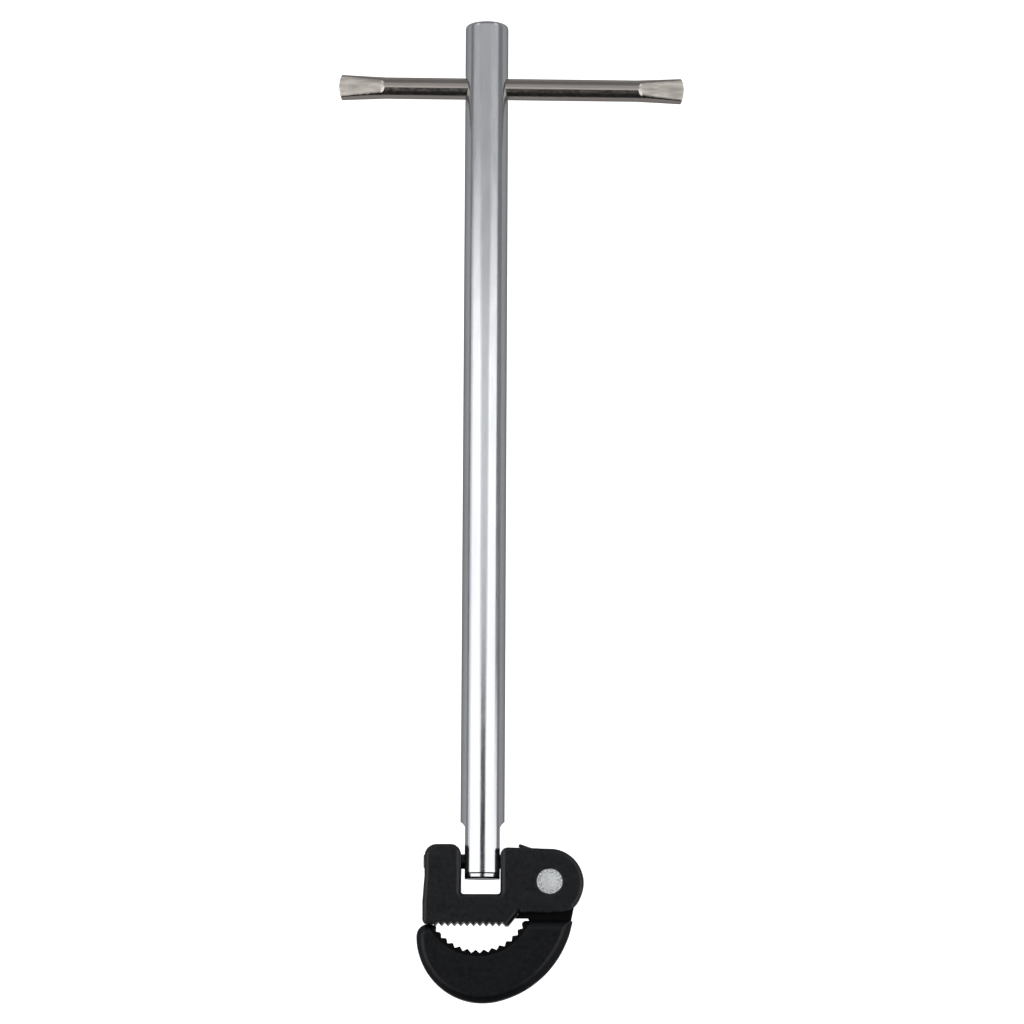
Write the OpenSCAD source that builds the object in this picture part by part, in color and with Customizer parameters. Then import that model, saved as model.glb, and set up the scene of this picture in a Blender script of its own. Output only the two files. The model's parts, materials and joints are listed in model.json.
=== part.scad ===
// Basin wrench, 11 inch class, lying flat on the back of its head.
// Frame: origin at the middle of the yoke's cross bar, on its back face.
// +X runs along the sliding T-bar, +Y along the shaft from the head to the T-bar, +Z out of the front face.
// All sizes are in millimetres.

/* [Shaft] */
// Diameter of the round bar
shaft_d = 12; // [11:0.1:12.7]
// Width across the two side flats of the neck
neck_w = 9.5; // [9:0.1:9.5]
// Length of the shaft above the swivel pin
shaft_above = 233.6; // [220:0.1:300]
// Length of the neck below the swivel pin
shaft_below = 4.7; // [4:0.1:5]
// Length of the side flats above the swivel pin
neck_above = 9; // [9:0.1:12]
// Radius that the flats run out with, up to the full bar
runout_r = 1.8; // [1.5:0.1:3]
// Rounding of the bar's top end
end_round = 1.1; // [0.5:0.1:2]

/* [T-bar] */
// Diameter of the sliding bar
tee_d = 6; // [5:0.1:6.4]
// Height of the T-bar's hole above the swivel pin
tee_above = 215.35; // [200:0.1:225]
// Lean of the T-bar and its hole away from square, right end down
tee_lean = 0.45; // [0:0.05:0.6]
// Plain length of the bar between its two pressed ends
tee_plain = 70; // [60:1:90]
// Length of each pressed end
press_len = 13.1; // [10:0.1:16]
// Width of each pressed end at its tip
press_w = 7.1; // [6.8:0.1:8]
// Thickness of each pressed end at its tip
press_t = 3.8; // [3:0.1:5]
// How far the middle of the bar stands off the shaft at rest
tee_shift = 6.9; // [-20:0.1:20]

/* [Yoke] */
// Thickness of the head
head_t = 12; // [12:0.1:14]
// Thickness of each cheek beside the jaw's tongue
cheek_t = 3.1; // [3:0.05:3.1]
// Height of the swivel pin above the origin
pin_y = 13; // [13:0.1:14]
// Diameter of the swivel pin
pin_d = 4; // [3.5:0.1:4.5]
// Radius of the round boss at the jaw's pivot
boss_r = 9.25; // [9:0.05:9.5]
// How far the boss sits below the jaw's pivot
boss_drop = 0.4; // [0:0.05:0.4]
// Number of teeth across the fixed jaw
yoke_teeth = 11; // [8:1:12]
// Spacing of the teeth across the fixed jaw
yoke_pitch = 1.73; // [1.5:0.01:1.73]
// Depth of the teeth on both jaws
tooth = 0.95; // [0.5:0.05:1]

/* [Hook jaw] */
// Distance of the jaw's pivot to the right of the shaft
pivot_x = 18.2; // [18:0.1:18.5]
// Distance of the jaw's pivot below the swivel pin
pivot_drop = 5.5; // [5:0.05:6]
// Diameter of the rivet
rivet_d = 6.9; // [6:0.1:7]
// Number of teeth around the hook
jaw_teeth = 14; // [10:1:18]
// Thickness of the tongue that runs between the cheeks
tongue_t = 3; // [2.8:0.05:3]

/* [Spring] */
// Diameter of the spring's wire
wire_d = 0.96; // [0.8:0.02:1]
// Mean radius of the spring's coil round the hub
coil_r = 6.9; // [6.7:0.05:7]

/* [Clearances] */
// Radial clearance of the T-bar in its hole
tee_gap = 0.08; // [0.03:0.01:0.1]
// Radial clearance of the swivel pin in the neck, and of the rivet in the hub
pin_gap = 0.06; // [0.02:0.01:0.1]

/* [Hidden] */
$fn = 96;
shaft_r = shaft_d / 2;
mid_z = head_t / 2;
tee_y = pin_y + tee_above;
pivot_y = pin_y - pivot_drop;
boss_y = pivot_y - boss_drop;

// The neck's lower end, from its face up: a chamfer, a slight taper and a step, each as [depth, height].
neck_end = [[0.95, 0], [0.5, 0.45], [0.32, 1.25], [0, 1.6]];

// The fork that holds the neck: its two walls, its floor, and the tops of its two lugs.
fork_left = -5.65;
fork_right = 4.9;
fork_floor = pin_y - 8.9;
left_top = pin_y + 4.5;
right_top = pin_y + 3.7;
yoke_left = -15.6;
yoke_flare = 0.5;
heel_y = -3.8;
tooth_tip_y = -4.35;
chin_y = -0.9;

// The chin, the boss's straight lower edge, curves up into the round boss and meets it at this angle.
chin_r = 7;
chin_a = -38;

// The slot between the cheeks, the tongue in it, and the hub that spaces the tongue off the back cheek.
slot_x = 9.9;
slot_z = [cheek_t, head_t - cheek_t];
side_gap = 0.15;
tongue_z = [slot_z[1] - side_gap - tongue_t, slot_z[1] - side_gap];
tongue_left = slot_x + 0.3;
tongue_r = pivot_x - tongue_left;
hub_r = 6.1;

// The hook: two outer arcs that meet smoothly, and the arc that its teeth stand on.
toe_c = [0.2, -7.25];
toe_r = 17.85;
back_r = 26.8;
blend_a = -76.4;
back_c = toe_c - (back_r - toe_r) * [cos(blend_a), sin(blend_a)];
bite_c = [-1.05, 2.4];
bite_r = 13.25;
shoulder_y = -3;
toe_y = -4;

// The spring: where its front leg rests on the yoke, and where its other leg enters the tongue.
rest_leg = [9.9, 17.58];
catch_hole = [15.2, pivot_y - coil_r];
catch_r = 0.64;

function unit(v) = v / norm(v);
function polar(c, r, a) = [c[0] + r * cos(a), c[1] + r * sin(a)];
function arc(c, r, a0, a1, n) = [for (i = [0:n]) polar(c, r, a0 + (a1 - a0) * i / n)];
function wrap(a) = a > 180 ? a - 360 : a < -180 ? a + 360 : a;

// The points of a corner q = [x, y, radius] between its neighbours p and s.
function corner(p, q, s) =
    let (
        o = [q[0], q[1]],
        u = unit([p[0], p[1]] - o),
        v = unit([s[0], s[1]] - o),
        half = acos(u * v) / 2,
        c = o + unit(u + v) * q[2] / sin(half),
        f = o + u * q[2] / tan(half) - c,
        l = o + v * q[2] / tan(half) - c,
        a = atan2(f[1], f[0])
    )
    q[2] == 0 ? [o] : arc(c, q[2], a, a + wrap(atan2(l[1], l[0]) - a), 6);

function rounded(q) = let (n = len(q))
    [for (i = [0:n - 1]) each corner(q[(i + n - 1) % n], q[i], q[(i + 1) % n])];

// A row of pointed teeth along the lower edge of the yoke, from left to right.
yoke_row = -12.7;
function yoke_teeth_points() = [
    for (i = [0:yoke_teeth - 1]) each [
        [yoke_row + yoke_pitch * i, tooth_tip_y, 0],
        [yoke_row + yoke_pitch * (i + 0.5), tooth_tip_y + tooth, 0]
    ],
    [yoke_row + yoke_pitch * yoke_teeth, tooth_tip_y, 0]
];

function yoke_outline() = rounded(concat(
    [[yoke_left - yoke_flare, heel_y, 1], [yoke_row - 0.5, heel_y, 0]],
    yoke_teeth_points(),
    [
        [7.2, tooth_tip_y, 0.3],
        [9.95, chin_y, 0.5],
        [pivot_x, chin_y, 0],
        [pivot_x, boss_y + boss_r, 0],
        [fork_right, right_top, 2],
        [fork_right, fork_floor, 0.8],
        [fork_left, fork_floor, 0.8],
        [fork_left, left_top, 2.9],
        [yoke_left, left_top, 3.1],
        [yoke_left, pin_y - 4, 4],
        [yoke_left - yoke_flare, 2, 6]
    ]
));

// All that lies above the chin, around the boss.
function above_chin() = let (
        meet = polar([pivot_x, boss_y], boss_r, chin_a),
        ahead = [-sin(chin_a), cos(chin_a)],
        far = boss_r + 1
    )
    rounded([
        [pivot_x - far, chin_y, 0],
        [meet[0] + ahead[0] * (chin_y - meet[1]) / ahead[1], chin_y, chin_r],
        [meet[0] + ahead[0] * boss_r / 2, meet[1] + ahead[1] * boss_r / 2, 0],
        [pivot_x + far, boss_y + far, 0],
        [pivot_x - far, boss_y + far, 0]
    ]);

// The hook's teeth, from the shoulder round to the toe: a root and a tip for each.
bite_a0 = asin((shoulder_y - bite_c[1]) / (bite_r + tooth));
bite_a1 = -180 - asin((toe_y - bite_c[1]) / (bite_r + tooth));
function hook_teeth_points() = [
    [11.5, shoulder_y],
    for (i = [0:jaw_teeth - 1], h = [0.5, 1])
        polar(bite_c, bite_r + (h == 1 ? tooth : 0), bite_a0 + (bite_a1 - bite_a0) * (i + h) / jaw_teeth)
];

function toe_points() = let (
        left = toe_c[0] - toe_r,
        q = [[-11, toe_y, 0], [left + 0.1, toe_y, 3.2], [left, toe_c[1], 0], [-11, toe_c[1], 0]]
    )
    [for (p = rounded(q)) if (p[0] < -14 && p[1] > toe_c[1]) p];

function hook_outline() = concat(
    toe_points(),
    arc(toe_c, toe_r, 180, 360 + blend_a, 40),
    arc(back_c, back_r, blend_a, asin((shoulder_y - back_c[1]) / back_r), 30),
    hook_teeth_points()
);

// Makes a solid of revolution stand along +Y, with its profile's height measured along Y.
module along_y() rotate([-90, 0, 0]) rotate_extrude() children();

// A cylinder along +X from x0 to x1.
module rod_x(r, x0, x1, y) translate([x0, y, mid_z]) rotate([0, 90, 0]) cylinder(r = r, h = x1 - x0);

// Puts the T-bar's own frame, with its axis along X, where its hole crosses the shaft.
module at_tee() translate([0, tee_y, mid_z]) rotate([0, 0, -tee_lean]) children();

// A straight prism of an outline between two heights.
module slab(outline, z) translate([0, 0, z[0]]) linear_extrude(z[1] - z[0]) polygon(outline);

module shaft() {
    y0 = pin_y - shaft_below;
    y1 = pin_y + shaft_above;
    flat_y = pin_y + neck_above;
    hole_r = tee_d / 2 + tee_gap;
    sink = 0.7;
    color("silver")
        difference() {
            translate([0, 0, mid_z]) along_y()
                polygon(concat(
                    [[0, y0]],
                    [for (e = neck_end) [shaft_r - e[0], y0 + e[1]]],
                    arc([shaft_r - end_round, y1 - end_round], end_round, 0, 90, 8),
                    [[0, y1]]
                ));
            for (side = [-1, 1]) {
                translate([side * (neck_w / 2 + 5) - 5, y0 - 1, 0]) cube([10, flat_y - y0 + 1, head_t]);
                translate([side * (neck_w / 2 + runout_r), flat_y, 0]) cylinder(r = runout_r, h = head_t);
                at_tee() rotate([0, side * 90, 0]) translate([0, 0, shaft_r - sink])
                    cylinder(r1 = hole_r, r2 = hole_r + 2 * sink, h = 2 * sink);
            }
            at_tee() rotate([0, 90, 0]) cylinder(r = hole_r, h = 4 * shaft_r, center = true);
            rod_x(pin_d / 2 + pin_gap, -shaft_r - 1, shaft_r + 1, pin_y);
        }
}

// One pressed end of the T-bar, starting at the plane X = 0 and growing along +X.
module pressed_end() {
    root_t = 5.3;
    tip_r = 8;
    intersection() {
        rotate([0, 90, 0]) cylinder(r1 = tee_d / 2, r2 = press_w / 2, h = press_len);
        translate([0, press_w, 0]) rotate([90, 0, 0]) linear_extrude(2 * press_w)
            polygon([
                [0, -tee_d / 2], [0.9, -root_t / 2], [press_len, -press_t / 2],
                [press_len, press_t / 2], [0.9, root_t / 2], [0, tee_d / 2]
            ]);
        translate([press_len - tip_r, 0, -press_w]) union() {
            cylinder(r = tip_r, h = 2 * press_w);
            translate([-press_len, -press_w, 0]) cube([press_len, 2 * press_w, 2 * press_w]);
        }
    }
}

module tee_bar() {
    color("lightgray")
        at_tee() translate([tee_shift, 0, 0]) {
            translate([-tee_plain / 2, 0, 0]) rotate([0, 90, 0]) cylinder(d = tee_d, h = tee_plain);
            for (side = [0, 1])
                mirror([side, 0, 0]) translate([tee_plain / 2, 0, 0]) pressed_end();
        }
}

pin_from = yoke_left - 0.3;
pin_to = 9;

module swivel_pin() {
    color([0.12, 0.12, 0.13]) rod_x(pin_d / 2, pin_from, pin_to, pin_y);
}

module yoke() {
    color([0.14, 0.14, 0.15])
        difference() {
            union() {
                slab(yoke_outline(), [0, head_t]);
                intersection() {
                    translate([pivot_x, boss_y, 0]) cylinder(r = boss_r, h = head_t);
                    slab(above_chin(), [0, head_t]);
                }
            }
            translate([slot_x, chin_y - 10, slot_z[0]]) cube([30, 40, slot_z[1] - slot_z[0]]);
            translate([pivot_x, pivot_y, -1]) cylinder(d = rivet_d, h = head_t + 2);
            rod_x(pin_d / 2, yoke_left - 5, pin_to + 0.1, pin_y);
        }
}

module hook_jaw() {
    web_bottom = shoulder_y - 4;
    tongue = rounded([
        [tongue_left, pivot_y, 0],
        [tongue_left, chin_y + 0.09, 0],
        [8.74, -2.35, 0.15],
        [12.4, -2.35, 0],
        [14.5, web_bottom, 0],
        [23, web_bottom, 0],
        [24.1, shoulder_y, 0],
        [24.55, -0.7, 0.8],
        [pivot_x + tongue_r - 0.15, pivot_y - 1, 0],
        [pivot_x, pivot_y, 0]
    ]);
    color([0.12, 0.12, 0.13])
        difference() {
            union() {
                slab(hook_outline(), [0, head_t]);
                slab(tongue, tongue_z);
                translate([pivot_x, pivot_y, tongue_z[0]]) cylinder(r = tongue_r, h = tongue_t);
                translate([pivot_x, pivot_y, slot_z[0] + side_gap])
                    cylinder(r = hub_r, h = tongue_z[1] - slot_z[0] - side_gap);
            }
            translate([pivot_x, pivot_y, -1]) cylinder(r = rivet_d / 2 + pin_gap, h = head_t + 2);
            translate([catch_hole[0], catch_hole[1], -1]) cylinder(r = catch_r, h = head_t + 2);
        }
}

module jaw_rivet() {
    proud = 0.12;
    color("gainsboro") translate([pivot_x, pivot_y, 0]) cylinder(d = rivet_d, h = head_t + proud);
}

// The spring's wire: stations of [point, heading, climb], swept with a ring of points at each.
wire_sides = 8;
coil_z0 = slot_z[0] + wire_d / 2 + 0.06;
coil_a0 = let (d = rest_leg - [pivot_x, pivot_y]) atan2(d[1], d[0]) - acos(coil_r / norm(d));
coil_turn = coil_a0 + 90 + 360;
coil_pitch = 1.02;
coil_steps = 32;
coil_z1 = coil_z0 + coil_pitch * coil_turn / 360;
bend_r = 0.7;
catch_top = tongue_z[1] - 0.6;

wire_path = concat(
    [[[rest_leg[0], rest_leg[1], coil_z0], coil_a0 - 90, 0]],
    [for (i = [0:coil_steps])
        let (turn = coil_turn * i / coil_steps, a = coil_a0 - turn, p = polar([pivot_x, pivot_y], coil_r, a))
        [[p[0], p[1], coil_z0 + coil_pitch * turn / 360], a - 90, 0]],
    [for (c = [0:22.5:90])
        [[catch_hole[0] + bend_r * (1 - sin(c)), catch_hole[1], coil_z1 + bend_r * (1 - cos(c))], 180, c]],
    [[[catch_hole[0], catch_hole[1], catch_top], 180, 90]]
);

function ring(s) = let (
        t = [cos(s[1]) * cos(s[2]), sin(s[1]) * cos(s[2]), sin(s[2])],
        n = [-sin(s[1]), cos(s[1]), 0],
        b = cross(t, n)
    )
    [for (k = [0:wire_sides - 1])
        let (a = 360 * k / wire_sides)
        s[0] + wire_d / 2 * (n * cos(a) + b * sin(a))];

module jaw_spring() {
    m = wire_sides;
    last = len(wire_path) - 1;
    color([0.2, 0.2, 0.21])
        polyhedron(
            points = [for (s = wire_path) each ring(s)],
            faces = concat(
                [[for (k = [0:m - 1]) k]],
                [for (i = [0:last - 1], k = [0:m - 1])
                    [i * m + k, (i + 1) * m + k, (i + 1) * m + (k + 1) % m, i * m + (k + 1) % m]],
                [[for (k = [m - 1:-1:0]) last * m + k]]
            )
        );
}

shaft();
tee_bar();
swivel_pin();
yoke();
hook_jaw();
jaw_rivet();
jaw_spring();
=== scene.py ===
"""The looks of a basin wrench: a chromed shaft, a nickel T-bar and a black, toothed head.

Every piece is built round the CAD frame. The frame and the studio are in metres. Shapes are worked out in
millimetres.
"""
import json
import math

import bpy
import numpy as np
from mathutils import Euler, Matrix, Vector


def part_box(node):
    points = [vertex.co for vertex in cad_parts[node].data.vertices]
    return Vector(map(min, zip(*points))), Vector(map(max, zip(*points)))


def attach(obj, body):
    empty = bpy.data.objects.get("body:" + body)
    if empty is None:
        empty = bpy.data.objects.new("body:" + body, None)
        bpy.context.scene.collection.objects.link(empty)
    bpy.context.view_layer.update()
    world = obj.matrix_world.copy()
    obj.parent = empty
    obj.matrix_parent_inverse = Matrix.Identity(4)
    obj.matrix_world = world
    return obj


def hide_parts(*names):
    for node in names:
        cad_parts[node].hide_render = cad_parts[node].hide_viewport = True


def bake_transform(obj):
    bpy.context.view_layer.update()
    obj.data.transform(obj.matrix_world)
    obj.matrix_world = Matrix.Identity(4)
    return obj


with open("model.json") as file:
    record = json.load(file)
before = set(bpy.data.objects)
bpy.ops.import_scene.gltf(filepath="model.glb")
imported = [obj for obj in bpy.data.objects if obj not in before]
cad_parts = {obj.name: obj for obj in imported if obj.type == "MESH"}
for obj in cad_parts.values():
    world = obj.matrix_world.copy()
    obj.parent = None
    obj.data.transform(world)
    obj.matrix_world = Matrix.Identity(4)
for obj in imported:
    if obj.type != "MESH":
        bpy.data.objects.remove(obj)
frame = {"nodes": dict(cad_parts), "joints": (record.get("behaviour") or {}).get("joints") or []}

MM = 0.001
HEAD_STEP = 0.18  # spacing of the grid that the head's pieces are worked out on, in millimetres
HEAD_KEEP = 0.3  # share of the head's faces that is kept
FULL_EDGE = 4  # how sharply a surface bends where it counts as an edge, per millimetre
FAR_INSIDE = -1e3  # a distance that never decides where a surface lies
FORGED_DEPTH, FORGED_SIZE = 0.03, 6  # mean depth and size of the forged skin's hollows, in millimetres
DENT_DEPTH, DENT_SIZE = 0.012, 1.1  # greatest depth and size of the hammer marks on the rivet
YOKE_SEED, HOOK_SEED, RIVET_SEED = 3, 8, 5
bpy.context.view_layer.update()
nodes = frame["nodes"]
joints = {joint["name"]: joint for joint in frame["joints"]}


# ---------------------------------------------------------------- meshes


def new_piece(name, points, faces, smooth=True):
    """A mesh object from points in metres and faces of any length."""
    mesh = bpy.data.meshes.new(name)
    mesh.from_pydata([tuple(p) for p in points], [], [tuple(f) for f in faces])
    mesh.validate()
    mesh.polygons.foreach_set("use_smooth", [smooth] * len(mesh.polygons))
    piece = bpy.data.objects.new(name, mesh)
    bpy.context.scene.collection.objects.link(piece)
    return piece


def tube_faces(rings, sides):
    """Quads between rings of points, and one face over each end."""
    faces = [
        (i * sides + k, i * sides + (k + 1) % sides, (i + 1) * sides + (k + 1) % sides, (i + 1) * sides + k)
        for i in range(rings - 1)
        for k in range(sides)
    ]
    last = (rings - 1) * sides
    faces.append(tuple(range(sides - 1, -1, -1)))
    faces.append(tuple(last + k for k in range(sides)))
    return faces


def section(node, height):
    """Where a level plane cuts a CAD node: straight segments (count, 2 ends, x and y), in millimetres."""
    mesh = nodes[node].data
    mesh.calc_loop_triangles()
    points = np.empty(len(mesh.vertices) * 3, np.float32)
    mesh.vertices.foreach_get("co", points)
    corners = np.empty(len(mesh.loop_triangles) * 3, np.int32)
    mesh.loop_triangles.foreach_get("vertices", corners)
    triangles = points.reshape(-1, 3)[corners].reshape(-1, 3, 3).astype(float) / MM
    above = triangles[:, :, 2] > height
    crossed = above.any(1) & ~above.all(1)
    triangles, above = triangles[crossed], above[crossed]
    lone = np.where(above.sum(1) == 1, above.argmax(1), (~above).argmax(1))
    row = np.arange(len(triangles))
    tip = triangles[row, lone]
    ends = []
    for step in (1, 2):
        other = triangles[row, (lone + step) % 3]
        share = (height - tip[:, 2]) / (other[:, 2] - tip[:, 2])
        ends.append((tip + (other - tip) * share[:, None])[:, :2])
    return np.stack(ends, 1)


def levels(node, beyond=-math.inf):
    """The heights of a CAD node's corners right of a plane, and the least x at each, in millimetres."""
    points = np.array([tuple(v.co) for v in nodes[node].data.vertices]) / MM
    points = points[points[:, 0] > beyond]
    heights = np.unique(np.round(points[:, 2], 2))
    return heights, [points[np.abs(points[:, 2] - h) < 0.01, 0].min() for h in heights]


def distance_to(segments, x, y):
    """Distance from grid points to the nearest segment, and whether an odd number lies to their right."""
    nearest = np.full(np.broadcast(x, y).shape, np.inf)
    inside = np.zeros(nearest.shape, bool)
    for (ax, ay), (bx, by) in segments:
        dx, dy = bx - ax, by - ay
        length2 = dx * dx + dy * dy
        if length2 < 1e-12:
            continue
        t = np.clip(((x - ax) * dx + (y - ay) * dy) / length2, 0, 1)
        nearest = np.minimum(nearest, (x - ax - t * dx) ** 2 + (y - ay - t * dy) ** 2)
        if ay != by:
            inside ^= ((ay > y) != (by > y)) & (x < (y - ay) * dx / dy + ax)
    return np.sqrt(nearest), inside


def smooth_max(a, b, soft):
    """The greater of two distances, with the crease between them rounded."""
    return np.maximum(a, b) + np.maximum(soft - np.abs(a - b), 0) ** 2 / (4 * soft)


def rounded(radius):
    """The rim of an upright slab, rounded: distance from the level distance and the height distance."""
    def rim(flat, tall):
        across, along = flat + radius, tall + radius
        outer = np.hypot(np.maximum(across, 0), np.maximum(along, 0))
        return np.minimum(np.maximum(across, along), 0) + outer - radius
    return rim


def bevelled(width, crease, soft=0.35):
    """The rim of an upright slab, bevelled by width both ways. crease and soft round the bevel's edges."""
    def rim(flat, tall):
        slope = (flat + tall + width) / math.sqrt(2)
        return smooth_max(smooth_max(tall, slope, crease), flat, soft)
    return rim


def slab(segments, x, y, z, low, high, rim_at):
    """Distance to an upright slab of an outline. rim_at(x, y) gives the rim of each of its segments."""
    rims = [rim_at(mx, my) for mx, my in segments.mean(1)]
    _, inside = distance_to(segments, x, y)
    groups = []
    for rim in dict.fromkeys(rims):
        own = np.array([r is rim for r in rims])
        groups.append((rim, distance_to(segments[own], x, y)[0]))
    nearest = np.min([gap for _, gap in groups], axis=0)
    tall = np.abs(z - (low + high) / 2) - (high - low) / 2
    result = None
    for rim, gap in groups:
        part = rim(np.where(inside, -gap, nearest)[:, :, None], tall)
        part = np.where((~inside & (gap > nearest))[:, :, None], FAR_INSIDE, part)
        result = part if result is None else np.maximum(result, part)
    return result


def wrap(field, low, step):
    """Wraps a mesh round a grid's zero level: a point per crossed cell, a quad per crossed grid line."""
    shape = np.array(field.shape)
    inside = field < 0
    cells, places, turned = [], [], []
    for axis in range(3):
        first = tuple(slice(0, -1) if a == axis else slice(None) for a in range(3))
        second = tuple(slice(1, None) if a == axis else slice(None) for a in range(3))
        crossed = inside[first] != inside[second]
        at = np.argwhere(crossed)
        f0, f1 = field[first][crossed], field[second][crossed]
        place = at.astype(float)
        place[:, axis] += f0 / (f0 - f1)
        around = []
        for du, dw in ((0, 0), (-1, 0), (-1, -1), (0, -1)):
            cell = at.copy()
            cell[:, (axis + 1) % 3] += du
            cell[:, (axis + 2) % 3] += dw
            around.append(np.ravel_multi_index(cell.T, shape))
        around = np.stack(around, 1)
        around[f0 > 0] = around[f0 > 0][:, ::-1]
        cells.append(around)
        places.append(np.repeat(place[:, None, :], 4, 1))
    cells, places = np.concatenate(cells), np.concatenate(places).reshape(-1, 3)
    _, index = np.unique(cells.ravel(), return_inverse=True)
    index = index.ravel()
    count = np.bincount(index)
    points = np.stack([np.bincount(index, places[:, a]) / count for a in range(3)], 1)
    return points * step + low, index.reshape(-1, 4)


def waves(x, y, z, size, seed):
    """Smooth, uneven noise from -1 to 1, about size across."""
    rng = np.random.default_rng(seed)
    total = 0
    for _ in range(9):
        k = rng.normal(size=3)
        k *= 2 * math.pi / (size * np.linalg.norm(k) * rng.uniform(0.7, 1.6))
        total = total + np.sin(k[0] * x + k[1] * y + k[2] * z + rng.uniform(0, 2 * math.pi))
    return total / 5


def forged_piece(name, node, build):
    """A piece with soft, forged edges: build(x, y, z) gives the distances to it, in millimetres."""
    low, high = (np.array(corner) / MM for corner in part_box(node))
    margin = 3 * HEAD_STEP
    axes = [np.arange(a - margin, b + margin, HEAD_STEP) for a, b in zip(low, high)]
    x, y, z = axes[0][:, None, None], axes[1][None, :, None], axes[2][None, None, :]
    field = build(x, y, z).astype(np.float32)
    origin = np.array([axis[0] for axis in axes])
    points, quads = wrap(field, origin, HEAD_STEP)
    piece = new_piece(name, points * MM, quads)
    thinner = piece.modifiers.new("thinner", "DECIMATE")
    thinner.ratio = HEAD_KEEP
    evaluated = piece.evaluated_get(bpy.context.evaluated_depsgraph_get())
    mesh = bpy.data.meshes.new_from_object(evaluated)
    piece.modifiers.clear()
    piece.data = mesh
    mesh.name = name
    mesh.polygons.foreach_set("use_smooth", [True] * len(mesh.polygons))
    mark_edges(mesh, field, origin)
    return piece


def mark_edges(mesh, field, origin):
    """Stores how sharply a surface bends: from -1 in a groove to 1 on an edge."""
    bend = np.zeros_like(field)
    core = (slice(1, -1),) * 3
    bend[core] = -6 * field[core]
    for axis in range(3):
        for side in (slice(0, -2), slice(2, None)):
            bend[core] += field[tuple(side if a == axis else slice(1, -1) for a in range(3))]
    bend /= HEAD_STEP * HEAD_STEP
    places = np.empty(len(mesh.vertices) * 3, np.float32)
    mesh.vertices.foreach_get("co", places)
    cell = np.round((places.reshape(-1, 3) / MM - origin) / HEAD_STEP).astype(int)
    cell = np.clip(cell, 0, np.array(field.shape) - 1)
    edge = np.clip(bend[cell[:, 0], cell[:, 1], cell[:, 2]] / FULL_EDGE, -1, 1)
    mesh.attributes.new("edge", "FLOAT", "POINT").data.foreach_set("value", edge.astype(np.float32))


# ---------------------------------------------------------------- the head

pivot = Vector(joints["jaw_pivot"]["pos_m"]) / MM
swivel = Vector(joints["head_swivel"]["pos_m"]) / MM
head_low, head_high = (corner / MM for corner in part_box("yoke"))

# The floor, ceiling and left wall of the slot right of the yoke's body, and the heights inside the hook.
body_x = 9.5
(_, slot_low, slot_high, _), (_, slot_x, _, _) = levels("yoke", beyond=body_x)
(_, hub_low, tongue_low, tongue_high, _), _ = levels("hook_jaw")

# Where the yoke's outline turns from one kind of edge to another, in millimetres.
fork_left, fork_right, fork_top, wall_reach = -5.65, 4.9, 15, 0.4
boss_y, boss_r, boss_half, rivet_reach = 7.1, 9.25, 5, 4
teeth_top, teeth_right, chin_top, chin_left, side_width = -2.9, 8, -0.4, 6, 2.5

# The hook's shoulder. Its bite's centre, how far the teeth reach from there, and the slope down to them.
shoulder_y, shoulder_left = -3, 8
bite_x, bite_y, bite_reach = -1.05, 2.4, 14.5
bite_rim, bite_slope = 15.1, 0.3

crisp = rounded(0.15)
soft_edge, side_edge, boss_edge, fork_edge = rounded(0.7), rounded(1.25), rounded(1.1), rounded(1.4)
chin_edge, heel_edge = rounded(0.6), bevelled(0.9, 0.2)
shoulder_edge = bevelled(1.2, 0.9, 0.5)


def yoke_rim(x, y):
    """The rim of the yoke near a point of its outline."""
    if math.hypot(x - pivot.x, y - pivot.y) < rivet_reach:
        return crisp
    if y < teeth_top and x < teeth_right:
        return crisp
    if y < chin_top and x > chin_left:
        return heel_edge if x < slot_x else chin_edge
    if x > pivot.x - boss_half and math.hypot(x - pivot.x, y - boss_y) > boss_r - 0.1:
        return boss_edge
    if x < head_low.x + side_width:
        return side_edge
    if y < fork_top and min(abs(x - fork_left), abs(x - fork_right)) < wall_reach:
        return fork_edge
    return soft_edge


def forged_skin(x, y, z, seed):
    """How much a forged face lies under its ideal plane, unevenly."""
    return np.maximum(FORGED_DEPTH * (1 + waves(x, y, z, FORGED_SIZE, seed)), 0)


def yoke_distance(x, y, z):
    """Distance to the yoke: its outline's slab, less the slot between its cheeks and the pin's bore."""
    flat_x, flat_y = x[:, :, 0], y[:, :, 0]
    whole = section("yoke", head_high.z - 1)
    solid = slab(whole, flat_x, flat_y, z, head_low.z, head_high.z, yoke_rim)
    gap_x, gap_z = slot_x - x, np.abs(z - (slot_low + slot_high) / 2) - (slot_high - slot_low) / 2
    slot = np.minimum(np.maximum(gap_x, gap_z), 0) + np.hypot(np.maximum(gap_x, 0), np.maximum(gap_z, 0))
    solid = smooth_max(solid, -slot, 0.25)
    pin_low, pin_high = (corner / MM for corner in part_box("swivel_pin"))
    bore = np.hypot(y - swivel.y, z - swivel.z) - (pin_high.z - pin_low.z) / 2
    bore = np.maximum(bore, x - pin_high.x)
    solid = np.maximum(solid, -bore)
    return solid + forged_skin(x, y, z, YOKE_SEED)


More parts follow.
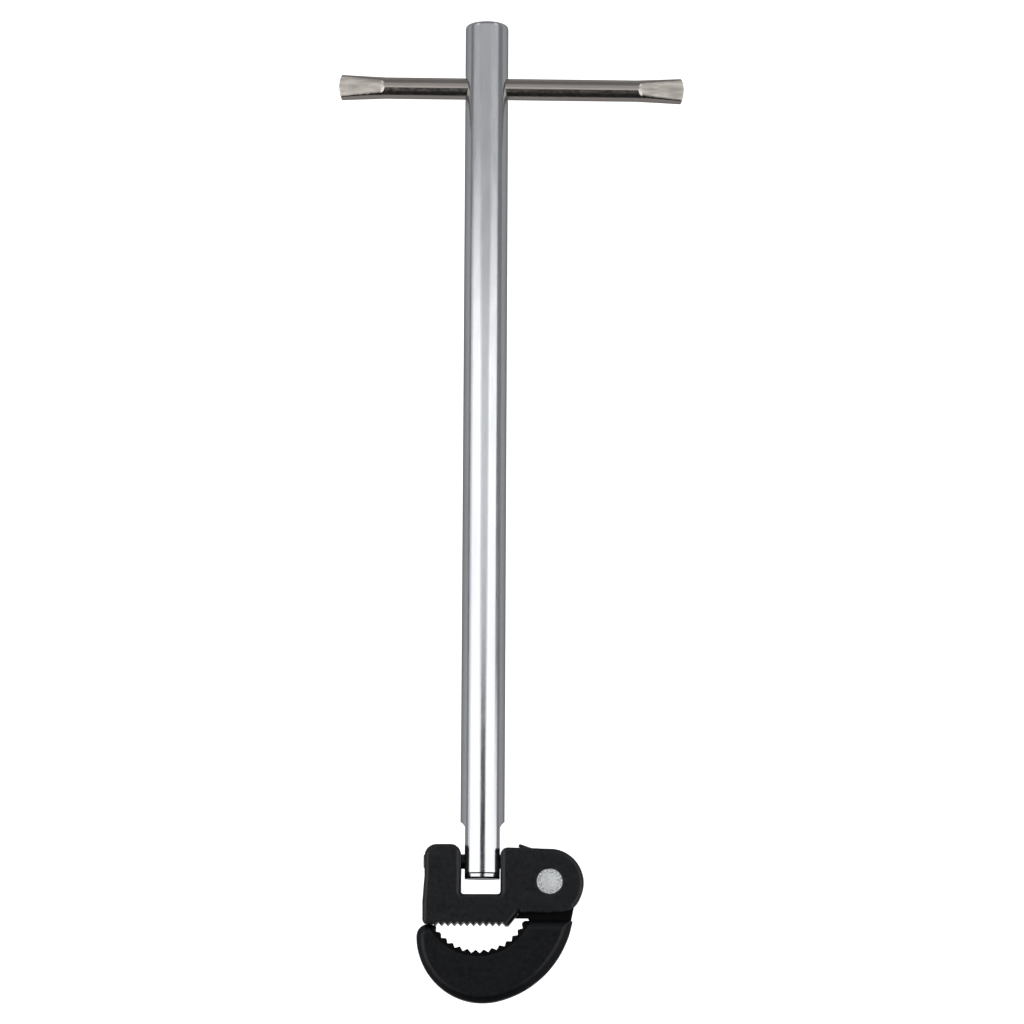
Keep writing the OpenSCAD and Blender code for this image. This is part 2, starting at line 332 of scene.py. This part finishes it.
def hook_distance(x, y, z):
    """Distance to the hook: its slab, sloped down to its teeth, with its tongue and hub."""
    flat_x, flat_y = x[:, :, 0], y[:, :, 0]
    low, high = (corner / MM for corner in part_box("hook_jaw"))
    turn = np.arctan2(flat_y - bite_y, flat_x - bite_x)[:, :, None]
    bevel, wider, widest_at, spread = 1.5, 0.6, -0.65, 0.6
    back_edge = bevelled(bevel + wider * np.exp(-(((turn - widest_at) / spread) ** 2)), 0.5)

    def hook_rim(px, py):
        if math.hypot(px - bite_x, py - bite_y) < bite_reach and py < shoulder_y + 0.1:
            return crisp
        if py > shoulder_y - 0.02 and px > shoulder_left:
            return shoulder_edge
        return back_edge

    solid = slab(section("hook_jaw", high.z - 1), flat_x, flat_y, z, low.z, high.z, hook_rim)
    ahead = bite_rim - np.hypot(flat_x - bite_x, flat_y - bite_y)[:, :, None]
    tall = np.abs(z - (low.z + high.z) / 2) - (high.z - low.z) / 2
    solid = smooth_max(solid, (tall + bite_slope * ahead) / math.hypot(1, bite_slope), 0.1)
    tongue = section("hook_jaw", (tongue_low + tongue_high) / 2)
    solid = np.minimum(solid, slab(tongue, flat_x, flat_y, z, tongue_low, tongue_high, lambda *_: crisp))
    hub = section("hook_jaw", (hub_low + tongue_low) / 2)
    solid = np.minimum(solid, slab(hub, flat_x, flat_y, z, hub_low, tongue_high, lambda *_: crisp))
    return solid + forged_skin(x, y, z, HOOK_SEED)


yoke = forged_piece("yoke_forging", "yoke", yoke_distance)
hook = forged_piece("hook_forging", "hook_jaw", hook_distance)


# ---------------------------------------------------------------- rivet, pin and spring


def turned(name, profile, sides):
    """A solid of revolution about Z from (radius, height) pairs, in millimetres, closed at both ends."""
    points = [
        (r * math.cos(2 * math.pi * k / sides), r * math.sin(2 * math.pi * k / sides), h)
        for r, h in profile
        for k in range(sides)
    ]
    return new_piece(name, np.array(points) * MM, tube_faces(len(profile), sides))


def set_rivet():
    """The jaw's rivet, its head set by hammering: faintly domed, with a soft rim."""
    low, high = (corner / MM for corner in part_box("jaw_rivet"))
    radius, dome, rim = (high.x - low.x) / 2, 0.1, 0.3
    # Where the stronger grain near the rim begins and how far it takes to grow, as shares of the radius.
    grain_from, grain_over = 0.45, 0.4
    flat = radius - rim
    profile = []
    for top in (False, True):
        end = []
        for i in range(7):
            a = math.pi / 2 * i / 6
            end.append((flat + rim * math.cos(a), rim * 0.5 * math.sin(a) - rim * 0.5))
        for i in range(1, 9):
            r = flat * (1 - i / 8.5)
            end.append((r, dome * (1 - (r / flat) ** 2)))
        if top:
            profile += [(r, high.z - dome + h) for r, h in end]
        else:
            profile += [(r, low.z + dome - h) for r, h in reversed(end)]
    piece = turned("rivet_head", profile, 72)
    rims = []
    for vertex in piece.data.vertices:
        x, y, z = vertex.co / MM
        r = math.hypot(x, y)
        rims.append(min(max((r / radius - grain_from) / grain_over, 0), 1))
        if 0.3 < r < radius - 0.05 and not low.z + 1 < z < high.z - 1:
            vertex.co.z += DENT_DEPTH * MM * float(waves(x, y, z, DENT_SIZE, RIVET_SEED))
        vertex.co.x += pivot.x * MM
        vertex.co.y += pivot.y * MM
    piece.data.attributes.new("rim", "FLOAT", "POINT").data.foreach_set("value", rims)
    return piece


def turned_pin():
    """The swivel pin, with chamfered ends."""
    low, high = (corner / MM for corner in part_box("swivel_pin"))
    radius, long, chamfer, core = (high.z - low.z) / 2, high.x - low.x, 0.3, 0.3
    profile = [
        (core, 0), (radius - chamfer, 0), (radius, chamfer),
        (radius, long - chamfer), (radius - chamfer, long), (core, long),
    ]
    piece = turned("swivel_pin_turned", profile, 48)
    for vertex in piece.data.vertices:
        x, y, z = vertex.co
        vertex.co = (low.x * MM + z, (low.y + high.y) / 2 * MM + y, (low.z + high.z) / 2 * MM - x)
    return piece


WIRE = 0.96  # the wire's diameter, in millimetres
SPRING_GAP = 0.06  # between the first turn and the cheek under it


def wound_spring():
    """The torsion spring: a leg on the yoke, a coil round the hub, and a leg bent up into the tongue."""
    coil, sides, steps, bend_steps = 6.9, 16, 144, 8
    leg, catch = Vector((9.9, 17.58)), Vector((15.2, pivot.y - coil))
    start_z, rise, bend, catch_top = slot_low + WIRE / 2 + SPRING_GAP, 1.02, 0.7, tongue_high - 0.6
    away = leg - pivot.xy
    first = math.atan2(away.y, away.x) - math.acos(coil / away.length)
    turn = first + math.pi / 2 + 2 * math.pi
    top_z = start_z + rise * turn / (2 * math.pi)
    path = [Vector((leg.x, leg.y, start_z))]
    for i in range(steps + 1):
        a = first - turn * i / steps
        z = start_z + rise * turn / (2 * math.pi) * i / steps
        path.append(Vector((pivot.x + coil * math.cos(a), pivot.y + coil * math.sin(a), z)))
    for i in range(1, bend_steps + 1):
        c = math.pi / 2 * i / bend_steps
        path.append(Vector((catch.x + bend * (1 - math.sin(c)), catch.y, top_z + bend * (1 - math.cos(c)))))
    path.append(Vector((catch.x, catch.y, catch_top)))
    points, side = [], None
    for i, p in enumerate(path):
        ahead = (path[min(i + 1, len(path) - 1)] - path[max(i - 1, 0)]).normalized()
        side = Vector((0, 0, 1)).cross(ahead) if side is None else side - side.dot(ahead) * ahead
        side.normalize()
        up = ahead.cross(side)
        for k in range(sides):
            a = 2 * math.pi * k / sides
            points.append((p + (side * math.cos(a) + up * math.sin(a)) * WIRE / 2) * MM)
    return new_piece("wound_spring", points, tube_faces(len(path), sides))


rivet = set_rivet()
pin = turned_pin()
spring = wound_spring()


# ---------------------------------------------------------------- T-bar


def pressed_bar():
    """The T-bar: a round bar whose ends are pressed flat on two sides, so that they spread."""
    low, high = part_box("tee_bar")
    centre = (low + high) / 2
    along = Vector(joints["tee_slide"]["axis"]).normalized()
    up = Vector((0, 0, 1))
    side = up.cross(along)
    # The round part, each pressed end, its width and thickness at the tip, and half its first thickness.
    radius, plain, press, wide, thick, nose = 3, 70, 13.1, 7.1, 3.8, 2.65
    # The radius of the bowed tips, the rounding of their rims and of the flats, and the ramp to the flats.
    tip_reach, rim, soft, ramp, sides = 8, 0.3, 0.6, 1.5, 96
    half = plain / 2 + press
    # The rings of one half: few on the round part, many over ramp and flat, then the rim and the tip.
    stations = [half * i / 4 for i in range(3)]
    stations += list(np.linspace(plain / 2 - 1.5, plain / 2 + 2.5, 40))
    stations += list(np.linspace(plain / 2 + 2.7, half - rim, 40))
    ends = [(s, 0) for s in stations]
    quarter = np.linspace(0.2, math.pi / 2, 6)
    ends += [(half - rim + rim * math.sin(a), rim * (1 - math.cos(a))) for a in quarter]
    ends += [(half, rim + 0.45 * i) for i in range(1, 5)]
    ring_list = [(-s, inset) for s, inset in reversed(ends[1:])] + ends
    points, pressed = [], []
    for s, inset in ring_list:
        into = abs(s) - plain / 2
        share = min(max(into / press, 0), 1)
        round_r = radius + (wide / 2 - radius) * share
        fall = min(max(into / ramp, 0), 1)
        fall = fall * fall * (3 - 2 * fall)
        flat_h = radius + soft + (nose - radius - soft) * fall + (thick / 2 - nose) * share
        for k in range(sides):
            a = 2 * math.pi * k / sides
            face = flat_h / max(abs(math.sin(a)), 1e-3)
            edge = max(soft - abs(round_r - face), 0) / soft
            r = max(min(round_r, face) - edge * edge * soft / 4 - inset, 0.05)
            y, z = r * math.cos(a), r * math.sin(a)
            bow = (tip_reach - math.sqrt(tip_reach**2 - y * y)) * share**3
            shift = math.copysign(abs(s) - bow, s) if s else 0
            points.append(centre + (along * shift + side * y + up * z) * MM)
            pressed.append(min(max((round_r - face) / soft + 0.5, 0), 1) if into > 0 else 0.0)
    piece = new_piece("pressed_tee_bar", points, tube_faces(len(ring_list), sides))
    piece.data.attributes.new("pressed", "FLOAT", "POINT").data.foreach_set("value", pressed)
    return piece


bar = pressed_bar()


# ---------------------------------------------------------------- materials


class Shader:
    """A node-based metal: a Principled shader with helpers that add what varies over the surface."""

    def __init__(self, name, **inputs):
        self.material = bpy.data.materials.new(name)
        self.material.use_nodes = True
        self.tree = self.material.node_tree
        self.surface = self.tree.nodes["Principled BSDF"]
        for key, value in inputs.items():
            self.surface.inputs[key.replace("_", " ")].default_value = value
        self.place = self.tree.nodes.new("ShaderNodeTexCoord").outputs["Object"]
        self.normal = None

    def link(self, out, to):
        self.tree.links.new(out, to)

    def scaled(self, x, y, z):
        """Object coordinates, stretched by a factor on each axis."""
        node = self.tree.nodes.new("ShaderNodeMapping")
        node.inputs["Scale"].default_value = (x, y, z)
        self.link(self.place, node.inputs["Vector"])
        return node.outputs["Vector"]

    def noise(self, size, detail=3.0, roughness=0.55, stretch=(1, 1, 1)):
        """Noise whose features are size metres across, stretched longer where stretch is above 1."""
        node = self.tree.nodes.new("ShaderNodeTexNoise")
        node.inputs["Scale"].default_value = 1 / size
        node.inputs["Detail"].default_value = detail
        node.inputs["Roughness"].default_value = roughness
        self.link(self.scaled(*(1 / s for s in stretch)), node.inputs["Vector"])
        return node.outputs["Fac"]

    def remap(self, value, low, high, to_low=0.0, to_high=1.0):
        node = self.tree.nodes.new("ShaderNodeMapRange")
        for key, v in (("From Min", low), ("From Max", high), ("To Min", to_low), ("To Max", to_high)):
            node.inputs[key].default_value = v
        self.link(value, node.inputs["Value"])
        return node.outputs["Result"]

    def math(self, operation, a, b):
        node = self.tree.nodes.new("ShaderNodeMath")
        node.operation = operation
        for value, socket in ((a, node.inputs[0]), (b, node.inputs[1])):
            if isinstance(value, (int, float)):
                socket.default_value = value
            else:
                self.link(value, socket)
        return node.outputs["Value"]

    def mix(self, share, a, b):
        node = self.tree.nodes.new("ShaderNodeMix")
        node.data_type = "RGBA"
        self.link(share, node.inputs["Factor"])
        for value, socket in ((a, node.inputs[6]), (b, node.inputs[7])):
            if isinstance(value, tuple):
                socket.default_value = (*value, 1)
            else:
                self.link(value, socket)
        return node.outputs[2]

    def attribute(self, name):
        node = self.tree.nodes.new("ShaderNodeAttribute")
        node.attribute_name = name
        return node.outputs["Fac"]

    def bump(self, height, depth, strength=1.0):
        """Adds a bump of up to depth metres."""
        node = self.tree.nodes.new("ShaderNodeBump")
        node.inputs["Strength"].default_value = strength
        node.inputs["Distance"].default_value = depth
        self.link(height, node.inputs["Height"])
        if self.normal is not None:
            self.link(self.normal, node.inputs["Normal"])
        self.normal = node.outputs["Normal"]
        self.link(self.normal, self.surface.inputs["Normal"])

    def set(self, key, out):
        self.link(out, self.surface.inputs[key])


def black_forging(name, seed_shift, gloss, depth):
    """Black oxide over a fine forged skin, lighter along its edges where it is worn and where a highlight
    is painted, with a few bright nicks.
    """
    m = Shader(name, Specular_IOR_Level=gloss)
    blotch = m.noise(0.006 + seed_shift, detail=4)
    dark = tuple(depth * c for c in (0.0024, 0.0029, 0.0044))
    light = tuple(depth * c for c in (0.0039, 0.0046, 0.0064))
    skin = m.mix(m.remap(blotch, 0.35, 0.65), dark, light)
    edge = m.attribute("edge")
    # Lighter along the edges: partly wear, partly a painted highlight on the rims.
    worn_edge_and_highlight = m.math("MULTIPLY", m.remap(edge, 0.08, 0.7), m.remap(m.noise(0.0016, detail=5), 0.42, 0.72))
    colour = m.mix(m.math("MULTIPLY", worn_edge_and_highlight, 0.35), skin, (0.075, 0.077, 0.08))
    flaw = m.remap(m.noise(0.0011 + seed_shift / 9, detail=6), 0.7, 0.76)
    nick = m.math("MULTIPLY", flaw, m.remap(edge, 0.3, 0.9))
    m.set("Base Color", m.mix(nick, colour, (0.5, 0.5, 0.5)))
    m.set("Roughness", m.remap(m.noise(0.0012, detail=4), 0.3, 0.7, 0.26, 0.38))
    m.bump(m.noise(0.004, detail=3), 0.00008, 0.35)
    m.bump(m.noise(0.0006, detail=2), 0.00002, 0.25)
    return m.material


def black_painted_shade():
    """A near-black with little gloss, painted as shade on the jaw's teeth, tongue and hub."""
    m = Shader("black_painted_shade", Specular_IOR_Level=0.06)
    m.set("Base Color", m.mix(m.noise(0.003, detail=4), (0.0008, 0.0008, 0.001), (0.002, 0.002, 0.0024)))
    m.set("Roughness", m.remap(m.noise(0.0012, detail=4), 0.3, 0.7, 0.45, 0.6))
    m.bump(m.noise(0.0005, detail=2), 0.00003, 0.3)
    return m.material


def chrome():
    """Bright chrome over a drawn bar: fine lines along it and a faint haze."""
    m = Shader("chrome_plate", Metallic=1.0, Specular_Tint=(0.47, 0.48, 0.5, 1))
    blotch = m.noise(0.012, detail=4, stretch=(1, 5, 1))
    m.set("Base Color", m.mix(m.remap(blotch, 0.35, 0.7), (0.58, 0.59, 0.61), (0.53, 0.54, 0.56)))
    haze = m.noise(0.0015, detail=5, stretch=(1, 6, 1))
    m.set("Roughness", m.remap(haze, 0.3, 0.75, 0.12, 0.22))
    m.bump(m.noise(0.0004, detail=2, stretch=(1, 30, 1)), 0.000004, 0.35)
    m.bump(m.noise(0.0006, detail=5), 0.000008, 0.4)
    return m.material


def nickel():
    """Warm nickel plate over a drawn bar, with its pressed flats lighter and duller."""
    m = Shader("nickel_plate", Metallic=1.0, Specular_Tint=(0.6, 0.58, 0.55, 1))
    flat = m.attribute("pressed")
    blotch = m.noise(0.006, detail=4, stretch=(4, 1, 1))
    plate = m.mix(m.remap(blotch, 0.35, 0.7), (0.46, 0.42, 0.39), (0.38, 0.35, 0.33))
    streak = m.noise(0.0011, detail=6, stretch=(5, 1, 1))
    brushed = m.mix(m.remap(streak, 0.36, 0.64), (0.68, 0.635, 0.575), (0.41, 0.385, 0.355))
    m.set("Base Color", m.mix(flat, plate, brushed))
    smooth = m.remap(m.noise(0.0012, detail=5), 0.3, 0.75, 0.14, 0.26)
    m.set("Roughness", m.math("ADD", smooth, m.math("MULTIPLY", flat, 0.2)))
    m.bump(m.noise(0.00045, detail=3, stretch=(2.5, 1, 1)), 0.00001, 0.5)
    m.bump(m.noise(0.0003, detail=2, stretch=(30, 1, 1)), 0.000004, 0.3)
    return m.material


def satin_steel():
    """Bare rivet steel: satin and finely grained."""
    m = Shader("bare_steel", Metallic=1.0)
    speck = m.remap(m.noise(0.00048, detail=5, roughness=0.7), 0.44, 0.6)
    rim = m.attribute("rim")
    grain = m.math("MULTIPLY", speck, m.math("ADD", m.math("MULTIPLY", rim, 0.75), 0.3))
    cloud = m.remap(m.noise(0.003, detail=3), 0.4, 0.65, 0.0, 0.15)
    m.set("Base Color", m.mix(m.math("ADD", grain, cloud), (0.68, 0.695, 0.70), (0.24, 0.25, 0.255)))
    m.set("Roughness", m.remap(m.noise(0.0006, detail=4), 0.3, 0.7, 0.38, 0.52))
    m.bump(m.noise(0.0004, detail=4, roughness=0.7), 0.00002, 0.5)
    return m.material


def dark_steel(name, shade, grain):
    """Oiled dark steel, for the pin and the spring."""
    m = Shader(name, Metallic=0.6)
    light = tuple(min(1.0, c * 1.9) for c in shade)
    m.set("Base Color", m.mix(m.remap(m.noise(grain * 3, detail=4), 0.35, 0.7), shade, light))
    m.set("Roughness", m.remap(m.noise(grain, detail=4), 0.3, 0.7, 0.3, 0.5))
    m.bump(m.noise(grain, detail=3), 0.00001, 0.4)
    return m.material


def paint(piece, material):
    piece.data.materials.clear()
    piece.data.materials.append(material)


paint(yoke, black_forging("black_casting", 0.0, 0.29, 1))
paint(hook, black_forging("black_forging", 0.0006, 0.2, 0.8))
hook.data.materials.append(black_painted_shade())
# The tongue and the band along the teeth take the near-black painted shade.
for polygon in hook.data.polygons:
    x, y, _ = polygon.center / MM
    tongue = x > shoulder_left and y > shoulder_y + 0.05
    if tongue or math.hypot(x - bite_x, y - bite_y) < bite_rim:
        polygon.material_index = 1
paint(bar, nickel())
paint(rivet, satin_steel())
paint(pin, dark_steel("black_steel", (0.02, 0.02, 0.022), 0.0008))
paint(spring, dark_steel("spring_steel", (0.03, 0.03, 0.033), 0.0006))
for slot in nodes["shaft"].material_slots:
    slot.material = chrome()

for piece, body, node, finish in (
    (yoke, "yoke", "yoke", "black_casting"),
    (hook, "hook_jaw", "hook_jaw", "black_forging"),
    (bar, "tee_bar", "tee_bar", "nickel_plate"),
    (rivet, "yoke", "jaw_rivet", "bare_steel"),
    (pin, "yoke", "swivel_pin", "black_steel"),
):
    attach(piece, body)
    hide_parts(node)
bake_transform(spring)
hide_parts("jaw_spring")


# ---------------------------------------------------------------- studio


def softbox(name, place, target, width, height, radiance):
    """An area light of even radiance that faces a point. It isn't seen by the camera itself."""
    lamp = bpy.data.lights.new(name, "AREA")
    lamp.shape = "RECTANGLE"
    lamp.size, lamp.size_y = width, height
    lamp.energy = radiance * math.pi * width * height
    light = bpy.data.objects.new(name, lamp)
    light.location = place
    light.rotation_mode = "QUATERNION"
    light.rotation_quaternion = (Vector(target) - Vector(place)).to_track_quat("-Z", "Y")
    light.visible_camera = False
    bpy.context.scene.collection.objects.link(light)
    return light


CEILING = 1.05
FLOOR_REACH = 6
FLOOR_Z = -0.045  # clear of the head when it swings down

# Black cloths round the camera: name and two opposite corners.
CLOTHS = (
    ("dark_card", (-0.21, -1.1, CEILING), (0.26, 0.17, CEILING)),
    ("dark_wall", (-0.9, -1.1, 0), (0.9, -1.1, CEILING)),
)

# Panels of light beside the object: name, degrees from overhead to +X, height, near and far end, radiance.
SIDE_BOXES = (
    ("left_box", -49, 0.85, -0.5, 0.45, 1.55),
    ("left_low_box", -75, 0.22, -0.5, 0.45, 0.8),
    ("right_box", 45.5, 0.77, -0.5, 0.45, 1.5),
    ("right_low_box", 71, 0.28, -0.5, 0.16, 1.4),
    ("left_far_box", -51, 0.95, 0.46, 1.17, 0.29),
    ("right_far_box", 45.5, 0.77, 0.46, 1.17, 0.31),
)

# Level panels of light on the ceiling: name, left and right side, near and far end, radiance.
TOP_BOXES = (
    ("left_top", -0.64, -0.21, -0.6, 0.17, 1.6),
    ("right_top", 0.26, 0.56, -0.6, 0.17, 1.6),
    ("left_mid_top", -0.64, -0.36, 0.17, 0.4, 1.5),
    ("right_mid_top", 0.36, 0.56, 0.17, 0.4, 1.5),
    ("near_top", -0.36, 0.36, 0.17, 0.4, 0.75),
    ("far_top", -0.55, 0.56, 0.4, 1.3, 0.32),
)

# Square panels of light in the four corners: the place of each, where all of them point, side and radiance.
CORNERS = ((-1, 1.25), (1, 1.25), (-1, -0.95), (1, -0.95))
CORNER_X, CORNER_Z, CORNER_AIM, CORNER_SIZE, CORNER_RADIANCE = 1.1, 0.8, (0, 0.1, 0), 0.6, 1.3


def overhead(name, x0, x1, y0, y1, radiance):
    """A level panel of light that spans two corners of the ceiling."""
    light = softbox(name, ((x0 + x1) / 2, (y0 + y1) / 2, CEILING), (0, 0, 0), x1 - x0, y1 - y0, radiance)
    light.rotation_quaternion = (1, 0, 0, 0)


def side_box(name, zenith, height, y0, y1, radiance):
    """A panel of light beside the object, at an angle from overhead towards +X, facing it square on."""
    reach, y = 1.15, (y0 + y1) / 2
    place = (reach * math.sin(math.radians(zenith)), y, reach * math.cos(math.radians(zenith)))
    softbox(name, place, (0, y, 0), y1 - y0, height, radiance)


def studio():
    """A pale, evenly lit floor, soft light from the sides and above, and a dark card round the camera."""
    world = bpy.data.worlds.new("studio")
    world.use_nodes = True
    background = world.node_tree.nodes["Background"]
    background.inputs["Color"].default_value = (0.96, 0.97, 1.0, 1)
    background.inputs["Strength"].default_value = 0.28
    bpy.context.scene.world = world
    corners = [(x * FLOOR_REACH, y * FLOOR_REACH, FLOOR_Z) for x, y in ((-1, -1), (1, -1), (1, 1), (-1, 1))]
    floor = new_piece("floor", corners, [(0, 1, 2, 3)], smooth=False)
    m = Shader("pale_floor", Roughness=0.9, Specular_IOR_Level=0.1)
    m.surface.inputs["Emission Color"].default_value = (1, 1, 1, 1)
    seen = m.tree.nodes.new("ShaderNodeLightPath").outputs["Is Camera Ray"]
    m.set("Emission Strength", m.math("MULTIPLY", seen, 0.88))
    m.set("Base Color", m.mix(m.noise(0.6), (0.50, 0.50, 0.50), (0.53, 0.53, 0.53)))
    paint(floor, m.material)
    black = Shader("black_cloth", Base_Color=(0.015, 0.015, 0.015, 1), Roughness=0.9).material
    for name, (x0, y0, z0), (x1, y1, z1) in CLOTHS:
        corners = [(x0, y0, z0), (x0, y1, z1), (x1, y1, z1), (x1, y0, z0)]
        cloth = new_piece(name, corners, [(0, 1, 2, 3)], smooth=False)
        cloth.visible_camera = False
        paint(cloth, black)
    for box in SIDE_BOXES:
        side_box(*box)
    for side, y in CORNERS:
        place = (side * CORNER_X, y, CORNER_Z)
        softbox(f"corner_box_{side}_{y}", place, CORNER_AIM, CORNER_SIZE, CORNER_SIZE, CORNER_RADIANCE)
    for box in TOP_BOXES:
        overhead(*box)


def photo_camera():
    """A camera at the photograph's viewing angle, nearly straight above, with a long lens."""
    right_of_shaft, above_pin = 7.6, 95.86
    aim = Vector((right_of_shaft, swivel.y + above_pin, swivel.z)) * MM
    distance, tilt, roll = 1.02, math.radians(8.623), math.radians(0.268)
    data = bpy.data.cameras.new("camera")
    data.sensor_width, data.lens = 36, 130.5
    data.clip_start, data.clip_end = 0.05, 20
    camera = bpy.data.objects.new("camera", data)
    camera.location = aim + Vector((0, -math.sin(tilt), math.cos(tilt))) * distance
    camera.rotation_euler = (Euler((tilt, 0, 0)).to_matrix() @ Euler((0, 0, roll)).to_matrix()).to_euler()
    bpy.context.scene.collection.objects.link(camera)
    bpy.context.scene.camera = camera


studio()
photo_camera()
bpy.context.scene.view_settings.view_transform = "Standard"

bpy.context.view_layer.update()
